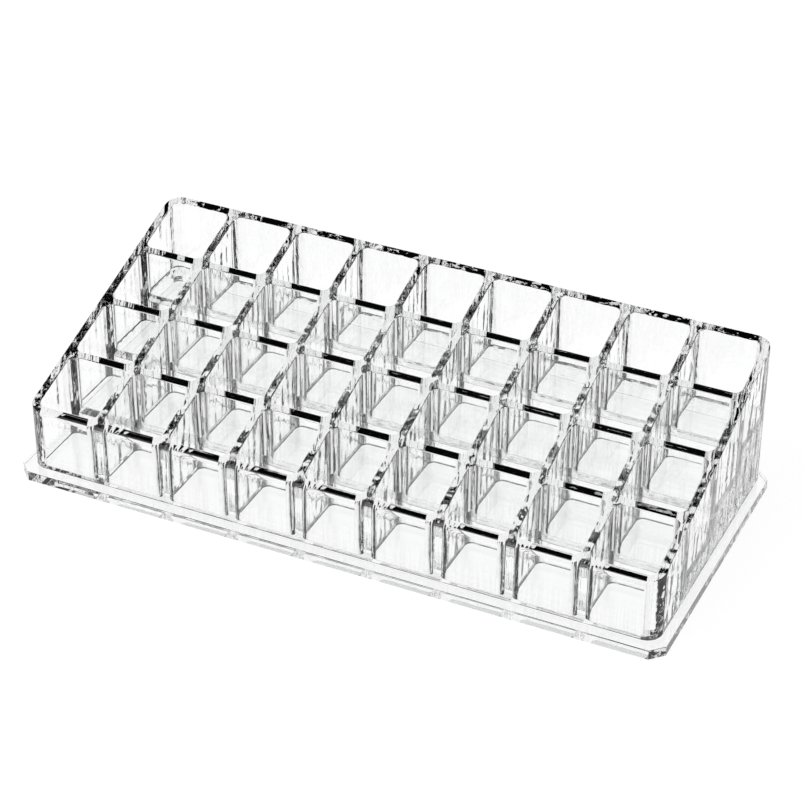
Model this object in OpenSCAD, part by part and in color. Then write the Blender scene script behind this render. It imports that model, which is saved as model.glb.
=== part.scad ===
// Clear lipstick organizer: a sloping rack of square wells on a wide base plate.
// The rack is built from flat clear panels. Row and column dividers cross at
// half-lap joints and butt against the outer walls. The front wells stand on
// the base plate, and the rows behind have floors that rise in even steps. The
// dividers end at those floors, so the space beneath the steps is empty.
// The origin is at the middle of the underside, +X to the right, +Y to the back.

/* [Grid] */
// Number of wells side by side
columns = 9; // [4:1:12]
// Number of rows from front to back
rows = 4; // [2:1:6]
// Distance between the middles of neighbouring dividers
well_pitch = 24.6; // [18:0.2:32]
// Thickness of every upright wall and divider
wall_t = 2.8; // [1.6:0.1:4]

/* [Rack] */
// Height of the front wall above the base plate, measured at its outer face
front_height = 22.5; // [16:0.5:40]
// Rise of the rim from front to back, in degrees
rim_angle = 16.75; // [5:0.25:22]
// Radius of the edge where the front face turns into the sloping rim
rim_edge_r = 2.6; // [0.5:0.1:2.8]
// Outer radius of the four upright corners of the rack
corner_r = 5.3; // [3:0.1:8]

/* [Wells] */
// Rise of the floor from one row to the row behind it
floor_step = 8.9; // [4:0.1:11]
// Thickness of the raised well floors
floor_t = 2.8; // [1:0.1:3]

/* [Base plate] */
// Thickness of the base plate
plate_t = 3.5; // [2:0.1:6]
// How far the plate reaches past the rack at the left and right
side_margin = 3.2; // [0.5:0.1:10]
// How far the plate reaches past the front wall
front_margin = 4.3; // [0.5:0.1:15]
// How far the plate reaches past the back wall
back_margin = 0.6; // [0:0.1:10]
// Size of the straight cut across each corner of the plate
plate_chamfer = 4.2; // [1:0.1:8]

/* [Joints] */
// Gap on each side of a divider in the slot that crosses it
lap_gap = 0.1; // [0.05:0.01:0.3]

/* [Hidden] */
$fn = 64;

// Clear plastic with a faint cold tint
clear_tint = [0.92, 0.95, 0.96, 0.35];
// Overrun of every cutting shape
cut_over = 1;

well_w = well_pitch - wall_t;
rack_w = columns * well_pitch + wall_t;
rack_d = rows * well_pitch + wall_t;
plate_w = rack_w + 2 * side_margin;
plate_d = rack_d + front_margin + back_margin;
rack_front = front_margin - plate_d / 2;
rack_back = rack_front + rack_d;
rack_left = -rack_w / 2;
rack_right = rack_w / 2;

// Middle of the divider behind row n, and of the divider right of column n
function row_line(n) = rack_front + wall_t / 2 + n * well_pitch;
function column_line(n) = rack_left + wall_t / 2 + n * well_pitch;
// Height of the sloping rim at a given depth
function rim_z(y) = plate_t + front_height + (y - rack_front) * tan(rim_angle);
rim_top = rim_z(rack_back);
// Top of the floors of row n, the front row being row 1
function floor_z(n) = plate_t + (n - 1) * floor_step;
// Lower edge of the dividers in row n
function foot_z(n) = n == 1 ? plate_t : floor_z(n) - floor_t;
// Height where the two halves of the lap joint behind row n meet
function lap_z(n) = (floor_z(n + 1) + rim_z(row_line(n))) / 2;

// Arc that rounds the front edge of the rim: its middle, its steps and its points
edge_y = rack_front + rim_edge_r;
edge_z = rim_z(edge_y) - rim_edge_r / cos(rim_angle);
edge_steps = 10;
edge_arc = [
    for (step = [0 : edge_steps])
        let (turn = 180 - (90 - rim_angle) * step / edge_steps)
            [edge_y + rim_edge_r * cos(turn), edge_z + rim_edge_r * sin(turn)]
];

// Side view of the rack: upright front and back, sloping rim, rounded front edge
module rack_profile() {
    polygon(concat(
        [[rack_front, plate_t]],
        edge_arc,
        [[rack_back, rim_top], [rack_back, plate_t]]
    ));
}

// Solid block with the side view of the rack
module rack_block() {
    rotate([90, 0, 90])
        linear_extrude(height = rack_w, center = true)
            rack_profile();
}

// Plan view of the rack with its rounded corners
module rack_plan() {
    corner_x = rack_w / 2 - corner_r;
    for (side = [-1, 1]) {
        translate([side * corner_x, rack_front + corner_r]) circle(r = corner_r);
        translate([side * corner_x, rack_back - corner_r]) circle(r = corner_r);
    }
    translate([-corner_x, rack_front]) square([2 * corner_x, rack_d]);
    translate([rack_left, rack_front + corner_r]) square([rack_w, rack_d - 2 * corner_r]);
}

// Upright panel under the rim between two plan corners, with its lower edge at foot
module panel(from, to, foot = plate_t) {
    intersection() {
        rack_block();
        translate([0, 0, foot])
            linear_extrude(height = rim_top)
                intersection() {
                    rack_plan();
                    translate(from) square(to - from);
                }
    }
}

module base_plate() {
    x = plate_w / 2;
    y = plate_d / 2;
    c = plate_chamfer;
    color(clear_tint)
        linear_extrude(height = plate_t)
            polygon([
                [-x + c, -y], [x - c, -y], [x, -y + c], [x, y - c],
                [x - c, y], [-x + c, y], [-x, y - c], [-x, -y + c]
            ]);
}

module front_wall() {
    color(clear_tint)
        panel([rack_left, rack_front], [rack_right, rack_front + wall_t]);
}

module back_wall() {
    color(clear_tint)
        panel([rack_left, rack_back - wall_t], [rack_right, rack_back]);
}

module left_wall() {
    color(clear_tint)
        panel([rack_left, rack_front + wall_t], [rack_left + wall_t, rack_back - wall_t]);
}

module right_wall() {
    color(clear_tint)
        panel([rack_right - wall_t, rack_front + wall_t], [rack_right, rack_back - wall_t]);
}

// Column divider, slotted from the rim down for each row divider. Its lower edge
// is on the plate in the front row and steps up with the floors behind it.
module column_divider(n) {
    x = column_line(n);
    slot_w = wall_t + 2 * lap_gap;
    color(clear_tint)
        difference() {
            panel([x - wall_t / 2, rack_front + wall_t], [x + wall_t / 2, rack_back - wall_t]);
            for (row = [1 : rows - 1]) {
                translate([x - wall_t / 2 - cut_over, row_line(row) - slot_w / 2, lap_z(row)])
                    cube([wall_t + 2 * cut_over, slot_w, rim_top]);
                translate([
                    x - wall_t / 2 - cut_over,
                    row_line(row) + wall_t / 2,
                    plate_t - cut_over
                ])
                    cube([wall_t + 2 * cut_over, rack_d, foot_z(row + 1) - plate_t + cut_over]);
            }
        }
}

// Row divider, slotted from its lower edge up for each column divider. The first
// one stands on the plate and the others end at the floors in front of them.
module row_divider(n) {
    y = row_line(n);
    slot_w = wall_t + 2 * lap_gap;
    slot_h = lap_z(n) - foot_z(n);
    color(clear_tint)
        difference() {
            panel(
                [rack_left + wall_t, y - wall_t / 2],
                [rack_right - wall_t, y + wall_t / 2],
                foot_z(n)
            );
            for (column = [1 : columns - 1])
                translate([
                    column_line(column) - slot_w / 2,
                    y - wall_t / 2 - cut_over,
                    foot_z(n) - cut_over
                ])
                    cube([slot_w, wall_t + 2 * cut_over, slot_h + cut_over]);
        }
}

// One floor pane in each well of a raised row
module well_floors(n) {
    color(clear_tint)
        for (column = [1 : columns])
            translate([
                column_line(column - 1) + wall_t / 2,
                row_line(n - 1) + wall_t / 2,
                floor_z(n) - floor_t
            ])
                cube([well_w, well_w, floor_t]);
}

base_plate();
front_wall();
back_wall();
left_wall();
right_wall();
for (n = [1 : rows - 1])
    row_divider(n);
for (n = [1 : columns - 1])
    column_divider(n);
for (n = [2 : rows])
    well_floors(n);
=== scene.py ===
import math

import bmesh
import bpy
from mathutils import Matrix, Vector


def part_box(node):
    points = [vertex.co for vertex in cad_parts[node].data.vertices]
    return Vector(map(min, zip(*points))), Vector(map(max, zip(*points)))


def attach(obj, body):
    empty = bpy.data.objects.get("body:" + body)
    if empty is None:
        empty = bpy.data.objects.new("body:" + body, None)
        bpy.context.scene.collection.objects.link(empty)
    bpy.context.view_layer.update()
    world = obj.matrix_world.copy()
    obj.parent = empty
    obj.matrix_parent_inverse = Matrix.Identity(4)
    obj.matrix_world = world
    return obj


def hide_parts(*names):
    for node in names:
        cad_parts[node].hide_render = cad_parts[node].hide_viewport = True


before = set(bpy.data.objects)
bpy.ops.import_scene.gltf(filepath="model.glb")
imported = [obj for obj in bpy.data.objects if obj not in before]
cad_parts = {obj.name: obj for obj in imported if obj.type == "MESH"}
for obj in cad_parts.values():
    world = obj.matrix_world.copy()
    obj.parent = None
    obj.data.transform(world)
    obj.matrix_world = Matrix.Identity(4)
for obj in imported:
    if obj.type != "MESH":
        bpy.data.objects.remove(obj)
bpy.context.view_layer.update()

# Rounded corners and edges of the clear body
MM = 0.001
WELL_CORNER_R = 2.5 * MM      # upright inner corners of a well
WELL_EDGE_R = 0.35 * MM       # soft edge where a well meets the rim
WELL_FLOOR_R = 0.4 * MM       # fillet round the floor of a well
RACK_CORNER_R = 5.3 * MM      # upright outer corners of the rack
RIM_EDGE_R = 2.6 * MM         # front edge of the rim
CAVITY_CORNER_R = 2.4 * MM    # upright back corners of the space under the stepped floors
EDGE_BEVEL = 0.12 * MM        # every other edge
PLATE_CHAMFER = 4.2 * MM      # straight cut across the corners of the plate
SHARP_ANGLE = 50              # edges that turn by more degrees than this are bevelled

# Steps in each rounded stretch
CORNER_STEPS = 10             # upright rounded corner
EDGE_STEPS = 3                # soft edge of a well
FILLET_STEPS = 4              # fillet of a floor
RIM_STEPS = 10                # rounded front edge
BEVEL_STEPS = 2               # bevelled edge

# Tolerances of the mesh code
POINTS_PER_METRE = 1e7        # points that round to the same step of this grid are merged
CUT_NEAR = 1e-8               # how near a cut a point counts as on it
RIM_NEAR = 1e-6               # how near the rim a point counts as on it
SEAM = 1e-5                   # how far past its panel a face still belongs to it

# Clear polystyrene: tint, strength of the flow lines and strength of the ripple
PLASTIC_IOR = 1.59
PLASTICS = {
    "wall_plastic": ((0.997, 0.999, 1.0), 0.015, 0.01),
    "end_plastic": ((0.997, 0.999, 1.0), 1.5, 0.3),
    "rippled_plastic": ((0.997, 0.999, 1.0), 2.5, 0.3),
    "floor_plastic": ((0.997, 0.999, 1.0), 0.01, 0.01),
    "plate_plastic": ((0.996, 0.998, 1.0), 0.01, 0.01),
}
FLOW_SCALE = 350
FLOW_STRETCH = (1, 1, 0.2)    # the flow lines stand upright
FLOW_DEPTH = 0.2 * MM
RIPPLE_SCALE = 260
RIPPLE_DEPTH = 0.4 * MM
WEAR_SCALE = 60
WEAR_RANGE = (0.4, 0.8)       # noise levels between which the wear sets in
WEAR_ROUGHNESS = 0.008

# Camera, in degrees and metres. The focal length is in pixels of the 803 wide image.
CAM_AZIMUTH = 24.894
CAM_ELEVATION = 33.631
CAM_ROLL = 0.302
CAM_PLACE = (0.30297, -0.64713, 0.50687)
CAM_FOCAL_PIXELS = 2598.39
CAM_SENSOR = 36
CAM_CLIP = (0.01, 100)
IMAGE_WIDTH = 803

# Floor
FLOOR_HALF = 30
FLOOR_GAP = 0.1 * MM          # how far the floor lies below the plate
FLOOR_GREY = 0.08
FLOOR_LIFT = 0.95             # light of the floor itself, for what the camera sees

# The room is dark but for a white card behind the rack, and white low down all round
DARK_LEVEL = 0.03
CARD_DIRECTION = Vector((-0.351, 0.755, 0.554)).normalized()
CARD_HALF_ANGLE = 14
CARD_SOFT_ANGLE = 2
RING_TOP = 45
RING_SOFT_SHARE = 0.03

# Soft lamp
LAMP_PLACE = Vector((-0.5, -0.7, 1.4))
LAMP_SIZE = 1.0
LAMP_POWER = 14

# Light that is mirrored inside the plastic more often than this is lost
GLOSSY_BOUNCES = 7
TRANSMISSION_BOUNCES = 32
MAX_BOUNCES = 40


# Sizes from the frame

def count(prefix):
    return sum(name.startswith(prefix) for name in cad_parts)


columns = count("column_divider_") + 1
rows = count("row_divider_") + 1
plate_low, plate_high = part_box("base_plate")
top_z = plate_high.z
left_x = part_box("left_wall")[0].x
right_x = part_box("right_wall")[1].x
front_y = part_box("front_wall")[0].y
back_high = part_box("back_wall")[1]
back_y = back_high.y
wall_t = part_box("left_wall")[1].x - left_x
pitch = (right_x - left_x - wall_t) / columns
divider_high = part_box("row_divider_1")[1]
rim_slope = (back_high.z - divider_high.z) / (back_y - divider_high.y)


def rim_z(y):
    return back_high.z + (y - back_y) * rim_slope


def floor_z(row):
    """Top of the floors of a row. The front row stands on the plate."""
    return top_z if row == 0 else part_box("well_floors_%d" % (row + 1))[1].z


def under_z(row):
    """Underside of the raised floors of a row."""
    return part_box("well_floors_%d" % (row + 1))[0].z


def column_x(n):
    return left_x + wall_t / 2 + n * pitch


def row_y(n):
    return front_y + wall_t / 2 + n * pitch


def riser_y(n):
    """Back face of the divider in front of row n, or the inner face of the back wall."""
    return row_y(n) + (wall_t / 2 if n < rows else -wall_t / 2)


# Mesh helpers

class Shell:
    """A mesh in the making, whose points merge where they meet."""

    def __init__(self):
        self.bm = bmesh.new()
        self.points = {}

    def vert(self, p):
        key = tuple(round(c * POINTS_PER_METRE) for c in p)
        if key not in self.points:
            self.points[key] = self.bm.verts.new(p)
        return self.points[key]

    def face(self, corners, smooth=False):
        verts = []
        for p in corners:
            v = self.vert(p)
            if v not in verts:
                verts.append(v)
        if len(verts) > 2 and self.bm.faces.get(verts) is None:
            self.bm.faces.new(verts).smooth = smooth

    def band(self, a, b, wanted=None, smooth=False):
        """Joins two outlines. Flat sides stay flat-shaded, so that light keeps straight in them."""
        for k in range(len(a)):
            n = (k + 1) % len(a)
            if wanted is None or wanted[k]:
                corner = k % (CORNER_STEPS + 1) != CORNER_STEPS
                self.face([a[k], a[n], b[n], b[k]], smooth or corner)

    def flat_band(self, a, b):
        for k in range(len(a)):
            n = (k + 1) % len(a)
            self.face([a[k], a[n], b[n], b[k]])


def outline(x0, x1, y0, y1, radii):
    """Rectangle with rounded corners, anticlockwise from the front left corner."""
    corners = (
        (x0, y0, 1, 1, 180), (x1, y0, -1, 1, 270), (x1, y1, -1, -1, 0), (x0, y1, 1, -1, 90),
    )
    points = []
    for (x, y, dx, dy, start), r in zip(corners, radii):
        for k in range(CORNER_STEPS + 1):
            a = math.radians(start + 90 * k / CORNER_STEPS)
            points.append((x + dx * r + r * math.cos(a), y + dy * r + r * math.sin(a)))
    return points


def at(points, height):
    """Points of a plan at one height, or at a height that depends on their depth."""
    return [(x, y, height(y) if callable(height) else height) for x, y in points]


def quarter(k, steps):
    """Angle after k of the steps in a quarter turn."""
    return math.radians(90 * k / steps)


# Wells

def cell_outline(row, column):
    """Plan of a well with its share of the walls, and which of its sides lie outside."""
    sides = (row == 0, column == columns - 1, row == rows - 1, column == 0)
    front, right, back, left = sides
    corners = (left and front, right and front, right and back, left and back)
    cell = outline(
        left_x if left else column_x(column),
        right_x if right else column_x(column + 1),
        front_y if front else row_y(row),
        back_y if back else row_y(row + 1),
        [RACK_CORNER_R if corner else 0 for corner in corners],
    )
    outside = []
    for corner, side in zip(corners, sides):
        outside += [corner] * CORNER_STEPS + [side]
    return cell, outside


def well_outline(row, column, grow):
    """Plan of a well, grown by a width on every side."""
    half = wall_t / 2
    return outline(
        column_x(column) + half - grow,
        column_x(column + 1) - half + grow,
        row_y(row) + half - grow,
        row_y(row + 1) - half + grow,
        [WELL_CORNER_R + grow] * 4,
    )


def add_well(shell, row, column):
    """Rim, soft edge, sides, fillet and floor of a well. Returns its outer foot edges."""
    cell, outside = cell_outline(row, column)
    last = at(cell, rim_z)
    for k in range(EDGE_STEPS + 1):
        a = quarter(k, EDGE_STEPS)
        drop = WELL_EDGE_R * (1 - math.cos(a))
        plan = well_outline(row, column, WELL_EDGE_R * (1 - math.sin(a)))
        ring = [(x, y, rim_z(y) - drop) for x, y in plan]
        if k:
            shell.band(last, ring, smooth=True)
        else:
            shell.flat_band(last, ring)
        last = ring
    for k in range(FILLET_STEPS + 1):
        a = quarter(k, FILLET_STEPS)
        plan = well_outline(row, column, -WELL_FLOOR_R * (1 - math.cos(a)))
        ring = at(plan, floor_z(row) + WELL_FLOOR_R * (1 - math.sin(a)))
        shell.band(last, ring, smooth=k > 0)
        last = ring
    shell.face(last)
    shell.band(at(cell, top_z), at(cell, rim_z), outside)
    edges = zip(cell, cell[1:] + cell[:1], outside)
    return [((*a, top_z), (*b, top_z)) for a, b, wanted in edges if wanted and a != b]


def add_wells(shell):
    foot = []
    for row in range(rows):
        for column in range(columns):
            foot += add_well(shell, row, column)
    return foot


# Space under the floors, and the plate

def add_cavity(shell):
    """Empty space under the stepped floors, closed below by the plate."""
    x0, x1 = left_x + wall_t, right_x - wall_t
    y1 = riser_y(rows)
    r = CAVITY_CORNER_R
    levels = [top_z] + [under_z(row) for row in range(1, rows)]
    plans = [outline(x0, x1, riser_y(row), y1, [0, 0, r, r]) for row in range(1, rows)]
    arc = CORNER_STEPS + 1
    front = 2 * arc
    for n, plan in enumerate(plans):
        low, high = at(plan, levels[n]), at(plan, levels[n + 1])
        for k in range(front - 1):
            shell.face([low[k], low[k + 1], high[k + 1], high[k]], k != arc - 1)
        if n + 1 < len(plans):
            behind = at(plans[n + 1], levels[n + 1])
            shell.face(high[:front] + behind[:front][::-1])
        else:
            shell.face(high)
    # Back wall with its two rounded corners
    plan = plans[0]
    low, high = at(plan, top_z), at(plan, levels[-1])
    for k in range(front, 2 * front - 1):
        shell.face([low[k], low[k + 1], high[k + 1], high[k]], k != front + arc - 1)
    # End walls, whose upper edge steps up under the floors
    for start, back in ((0, 2 * front - 1), (front - 1, front)):
        steps = [(*plan[back], top_z), (*plan[back], levels[-1])]
        for n in range(len(plans) - 1, -1, -1):
            steps.append((*plans[n][start], levels[n + 1]))
            steps.append((*plans[n][start], levels[n]))
        shell.face(steps)
    shell.face(at(plan, top_z))


def add_plate(shell, foot):
    """Base plate with its cut corners, whose top leaves out the rack's footprint."""
    c = PLATE_CHAMFER
    x0, y0, z0 = plate_low
    x1, y1, z1 = plate_high
    plan = [
        (x0 + c, y0), (x1 - c, y0), (x1, y0 + c), (x1, y1 - c),
        (x1 - c, y1), (x0 + c, y1), (x0, y1 - c), (x0, y0 + c),
    ]
    high, low = at(plan, z1), at(plan, z0)
    for k in range(len(plan)):
        n = (k + 1) % len(plan)
        shell.face([high[k], high[n], low[n], low[k]])
    shell.face(low)
    edges = []
    for a, b in foot + list(zip(high, high[1:] + high[:1])):
        pair = (shell.vert(a), shell.vert(b))
        edges.append(shell.bm.edges.get(pair) or shell.bm.edges.new(pair))
    bmesh.ops.triangle_fill(shell.bm, edges=edges, use_beauty=True, normal=(0, 0, 1))


def round_front_edge(bm):
    """Turns the front edge of the rim into a quarter-round that runs into the slope."""
    r = RIM_EDGE_R
    angle = math.atan(rim_slope)
    mid_y = front_y + r
    mid_z = rim_z(mid_y) - r / math.cos(angle)
    turns = [math.pi - (math.pi / 2 - angle) * k / RIM_STEPS for k in range(1, RIM_STEPS + 1)]
    cuts = [mid_y + r * math.cos(t) for t in turns]
    end_y = cuts[-1] + RIM_NEAR

    def near_rim(v):
        return abs(v.co.z - rim_z(v.co.y)) < RIM_NEAR

    lowest = rim_z(front_y) - RIM_NEAR
    on_rim = {v for v in bm.verts if v.co.z > lowest and v.co.y < front_y + wall_t}
    for y in cuts:
        faces = [f for f in bm.faces if on_rim.intersection(f.verts)]
        edges = list({e for f in faces for e in f.edges})
        verts = list({v for f in faces for v in f.verts})
        done = bmesh.ops.bisect_plane(
            bm, geom=verts + edges + faces, dist=CUT_NEAR, plane_co=(0, y, 0), plane_no=(0, 1, 0),
        )
        cut_verts = [v for v in done["geom_cut"] if isinstance(v, bmesh.types.BMVert)]
        on_rim.update(v for v in cut_verts if near_rim(v))
    for f in bm.faces:
        if all(v in on_rim and v.co.y < end_y for v in f.verts):
            f.smooth = True
    for v in on_rim:
        if v.co.y < end_y and near_rim(v):
            v.co.z = mid_z + math.sqrt(max(0.0, r * r - (v.co.y - mid_y) ** 2))


# Clear body and its pieces

def owner(p):
    """CAD node that a point of the surface belongs to."""
    if p.z < top_z + SEAM:
        return "base_plate"
    if p.y < front_y + wall_t + SEAM:
        return "front_wall"
    if p.y > back_y - wall_t - SEAM:
        return "back_wall"
    if p.x < left_x + wall_t + SEAM:
        return "left_wall"
    if p.x > right_x - wall_t - SEAM:
        return "right_wall"
    row = round((p.y - row_y(0)) / pitch)
    column = round((p.x - column_x(0)) / pitch)
    off_y = abs(p.y - row_y(row))
    off_x = abs(p.x - column_x(column))
    by_column = 0 < column < columns
    by_row = 0 < row < rows and (off_y <= off_x or not by_column)
    reach = wall_t / 2 + SEAM
    if by_row and off_y < reach:
        return "row_divider_%d" % row
    if by_column and off_x < reach:
        return "column_divider_%d" % column
    # Fillets and floors of a well
    at_row = min(rows - 1, int((p.y - row_y(0)) / pitch))
    if p.z < floor_z(at_row) + WELL_FLOOR_R + SEAM:
        return "well_floors_%d" % (at_row + 1) if at_row else "base_plate"
    if by_row:
        return "row_divider_%d" % row
    if by_column:
        return "column_divider_%d" % column
    return "left_wall" if p.x < 0 else "right_wall"


def look_of(node):
    """Plastic and slot of a CAD node."""
    if node == "base_plate":
        return "plate_plastic", "clear_plate"
    if node.startswith("well_floors_"):
        return "floor_plastic", "clear_floor"
    if node.startswith("column_divider_"):
        return "rippled_plastic", "clear_panel"
    if node in ("left_wall", "right_wall", "back_wall"):
        return "end_plastic", "clear_panel"
    return "wall_plastic", "clear_panel"


def sharp_edges(bm):
    limit = math.radians(SHARP_ANGLE)
    return [e for e in bm.edges if len(e.link_faces) == 2 and e.calc_face_angle() > limit]


def whole_body():
    """One closed clear body."""
    shell = Shell()
    add_plate(shell, add_wells(shell))
    add_cavity(shell)
    bm = shell.bm
    round_front_edge(bm)
    bmesh.ops.recalc_face_normals(bm, faces=bm.faces[:])
    bmesh.ops.bevel(
        bm, geom=sharp_edges(bm), offset=EDGE_BEVEL, offset_type="OFFSET", segments=BEVEL_STEPS,
        profile=0.5, affect="EDGES", clamp_overlap=True,
    )
    whole = bpy.data.meshes.new("whole")
    bm.to_mesh(whole)
    bm.free()
    return whole


def piece_mesh(name, whole, normals, faces):
    """Some faces of the body as their own mesh, shaded as they are in the body."""
    place = {}
    corners = []
    shading = []
    for face in faces:
        corners.append([place.setdefault(v, len(place)) for v in face.vertices])
        shading += [normals[k] for k in face.loop_indices]
    mesh = bpy.data.meshes.new(name)
    mesh.from_pydata([whole.vertices[v].co for v in place], [], corners)
    mesh.polygons.foreach_set("use_smooth", [True] * len(corners))
    mesh.normals_split_custom_set(shading)
    mesh.update()
    return mesh


def build_pieces(plastics):
    """Cuts the body into one piece of surface for each CAD node."""
    whole = whole_body()
    # The shading comes from the whole body, so no seam shows between two pieces
    normals = [tuple(c.vector) for c in whole.corner_normals]
    groups = {}
    for face in whole.polygons:
        groups.setdefault(owner(face.center), []).append(face)
    for node, faces in groups.items():
        name = "clear_" + node
        plastic, slot = look_of(node)
        mesh = piece_mesh(name, whole, normals, faces)
        mesh.materials.append(plastics[plastic])
        piece = bpy.data.objects.new(name, mesh)
        bpy.context.scene.collection.objects.link(piece)
        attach(piece, "root")
        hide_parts(node)
    bpy.data.meshes.remove(whole)


# Materials

def add_noise(tree, place, scale, detail):
    node = tree.nodes.new("ShaderNodeTexNoise")
    node.inputs["Scale"].default_value = scale
    node.inputs["Detail"].default_value = detail
    tree.links.new(place, node.inputs["Vector"])
    return node.outputs["Fac"]


def add_bump(tree, height, strength, depth):
    node = tree.nodes.new("ShaderNodeBump")
    node.inputs["Strength"].default_value = strength
    node.inputs["Distance"].default_value = depth
    tree.links.new(height, node.inputs["Height"])
    return node


def clear_plastic(name, tint, streak, wave):
    """Clear polished plastic: faint upright flow lines, a slow ripple and light wear."""
    material = bpy.data.materials.new(name)
    material.use_nodes = True
    tree = material.node_tree
    shader = tree.nodes["Principled BSDF"]
    shader.inputs["Base Color"].default_value = (*tint, 1)
    shader.inputs["Transmission Weight"].default_value = 1
    shader.inputs["IOR"].default_value = PLASTIC_IOR

    place = tree.nodes.new("ShaderNodeTexCoord").outputs["Object"]
    stretch = tree.nodes.new("ShaderNodeMapping")
    stretch.inputs["Scale"].default_value = FLOW_STRETCH
    tree.links.new(place, stretch.inputs["Vector"])

    flow = add_bump(
        tree, add_noise(tree, stretch.outputs["Vector"], FLOW_SCALE, 0), streak, FLOW_DEPTH,
    )
    ripple = add_bump(tree, add_noise(tree, place, RIPPLE_SCALE, 1), wave, RIPPLE_DEPTH)
    tree.links.new(flow.outputs["Normal"], ripple.inputs["Normal"])
    tree.links.new(ripple.outputs["Normal"], shader.inputs["Normal"])

    gloss = tree.nodes.new("ShaderNodeMapRange")
    gloss.inputs["From Min"].default_value = WEAR_RANGE[0]
    gloss.inputs["From Max"].default_value = WEAR_RANGE[1]
    gloss.inputs["To Min"].default_value = 0
    gloss.inputs["To Max"].default_value = WEAR_ROUGHNESS
    tree.links.new(add_noise(tree, place, WEAR_SCALE, 4), gloss.inputs["Value"])
    tree.links.new(gloss.outputs["Result"], shader.inputs["Roughness"])
    return material


# Stage

def combine(tree, operation, a, b):
    """Math node on an output and on another output or a number."""
    node = tree.nodes.new("ShaderNodeMath")
    node.operation = operation
    tree.links.new(a, node.inputs[0])
    if isinstance(b, (int, float)):
        node.inputs[1].default_value = b
    else:
        tree.links.new(b, node.inputs[1])
    return node.outputs[0]


def white_floor():
    """White to the camera and through the plastic, and dim to the light that it scatters."""
    material = bpy.data.materials.new("white_floor")
    material.use_nodes = True
    tree = material.node_tree
    shader = tree.nodes["Principled BSDF"]
    shader.inputs["Base Color"].default_value = (FLOOR_GREY, FLOOR_GREY, FLOOR_GREY, 1)
    shader.inputs["Roughness"].default_value = 1
    shader.inputs["Specular IOR Level"].default_value = 0
    path = tree.nodes.new("ShaderNodeLightPath").outputs
    seen = combine(tree, "MAXIMUM", path["Is Camera Ray"], path["Is Glossy Ray"])
    seen = combine(tree, "MAXIMUM", seen, path["Is Transmission Ray"])
    lift = combine(tree, "MULTIPLY", seen, FLOOR_LIFT)
    shader.inputs["Emission Color"].default_value = (1, 1, 1, 1)
    tree.links.new(lift, shader.inputs["Emission Strength"])
    return material


def build_floor():
    half, z = FLOOR_HALF, plate_low.z - FLOOR_GAP
    corners = [(-half, -half, z), (half, -half, z), (half, half, z), (-half, half, z)]
    mesh = bpy.data.meshes.new("floor")
    mesh.from_pydata(corners, [], [range(len(corners))])
    mesh.materials.append(white_floor())
    floor = bpy.data.objects.new("floor", mesh)
    bpy.context.scene.collection.objects.link(floor)


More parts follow.
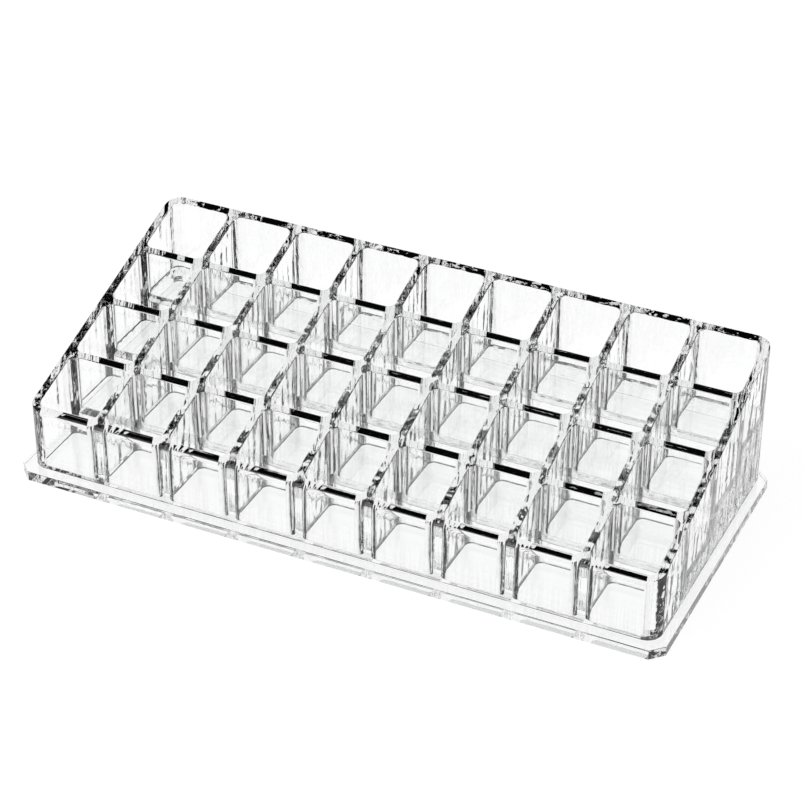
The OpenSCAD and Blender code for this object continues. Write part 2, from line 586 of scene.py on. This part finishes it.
def build_world():
    world = bpy.data.worlds.new("studio")
    bpy.context.scene.world = world
    world.use_nodes = True
    tree = world.node_tree
    background = tree.nodes["Background"]
    place = tree.nodes.new("ShaderNodeTexCoord")

    def along(direction):
        dot = tree.nodes.new("ShaderNodeVectorMath")
        dot.operation = "DOT_PRODUCT"
        dot.inputs[1].default_value = direction
        tree.links.new(place.outputs["Generated"], dot.inputs[0])
        return dot.outputs["Value"]

    def ramp(value, low, high, out_low, out_high):
        node = tree.nodes.new("ShaderNodeMapRange")
        node.interpolation_type = "SMOOTHSTEP"
        node.inputs["From Min"].default_value = low
        node.inputs["From Max"].default_value = high
        node.inputs["To Min"].default_value = out_low
        node.inputs["To Max"].default_value = out_high
        tree.links.new(value, node.inputs["Value"])
        return node.outputs["Result"]

    card = ramp(
        along(CARD_DIRECTION),
        math.cos(math.radians(CARD_HALF_ANGLE + CARD_SOFT_ANGLE)),
        math.cos(math.radians(CARD_HALF_ANGLE - CARD_SOFT_ANGLE)),
        DARK_LEVEL, 1,
    )
    top = math.sin(math.radians(RING_TOP))
    ring = ramp(
        along(Vector((0, 0, 1))), top - RING_SOFT_SHARE, top + RING_SOFT_SHARE, 1, DARK_LEVEL,
    )
    path = tree.nodes.new("ShaderNodeLightPath").outputs
    level = combine(tree, "MAXIMUM", combine(tree, "MAXIMUM", card, ring), path["Is Camera Ray"])
    tree.links.new(level, background.inputs["Strength"])
    background.inputs["Color"].default_value = (1, 1, 1, 1)


def build_lamp():
    """Soft lamp above the front left, which lights the floor but isn't mirrored in the plastic."""
    data = bpy.data.lights.new("soft_lamp", "AREA")
    data.shape = "DISK"
    data.size = LAMP_SIZE
    data.energy = LAMP_POWER
    lamp = bpy.data.objects.new("soft_lamp", data)
    bpy.context.scene.collection.objects.link(lamp)
    lamp.location = LAMP_PLACE
    lamp.rotation_mode = "QUATERNION"
    lamp.rotation_quaternion = (-LAMP_PLACE).to_track_quat("-Z", "Y")
    lamp.visible_glossy = False
    lamp.visible_transmission = False
    lamp.visible_camera = False


def build_camera():
    data = bpy.data.cameras.new("camera")
    data.lens = CAM_FOCAL_PIXELS * CAM_SENSOR / IMAGE_WIDTH
    data.sensor_width = CAM_SENSOR
    data.clip_start, data.clip_end = CAM_CLIP
    camera = bpy.data.objects.new("camera", data)
    bpy.context.scene.collection.objects.link(camera)
    azimuth, elevation = math.radians(CAM_AZIMUTH), math.radians(CAM_ELEVATION)
    forward = Vector((
        -math.sin(azimuth) * math.cos(elevation),
        math.cos(azimuth) * math.cos(elevation),
        -math.sin(elevation),
    ))
    roll = Matrix.Rotation(math.radians(CAM_ROLL), 3, "Z").to_quaternion()
    camera.rotation_mode = "QUATERNION"
    camera.rotation_quaternion = forward.to_track_quat("-Z", "Y") @ roll
    camera.location = CAM_PLACE
    bpy.context.scene.camera = camera


build_camera()
build_world()
build_lamp()
build_floor()
build_pieces({name: clear_plastic(name, *look) for name, look in PLASTICS.items()})

scene = bpy.context.scene
scene.view_settings.view_transform = "Standard"
scene.cycles.glossy_bounces = GLOSSY_BOUNCES
scene.cycles.transmission_bounces = TRANSMISSION_BOUNCES
scene.cycles.max_bounces = MAX_BOUNCES
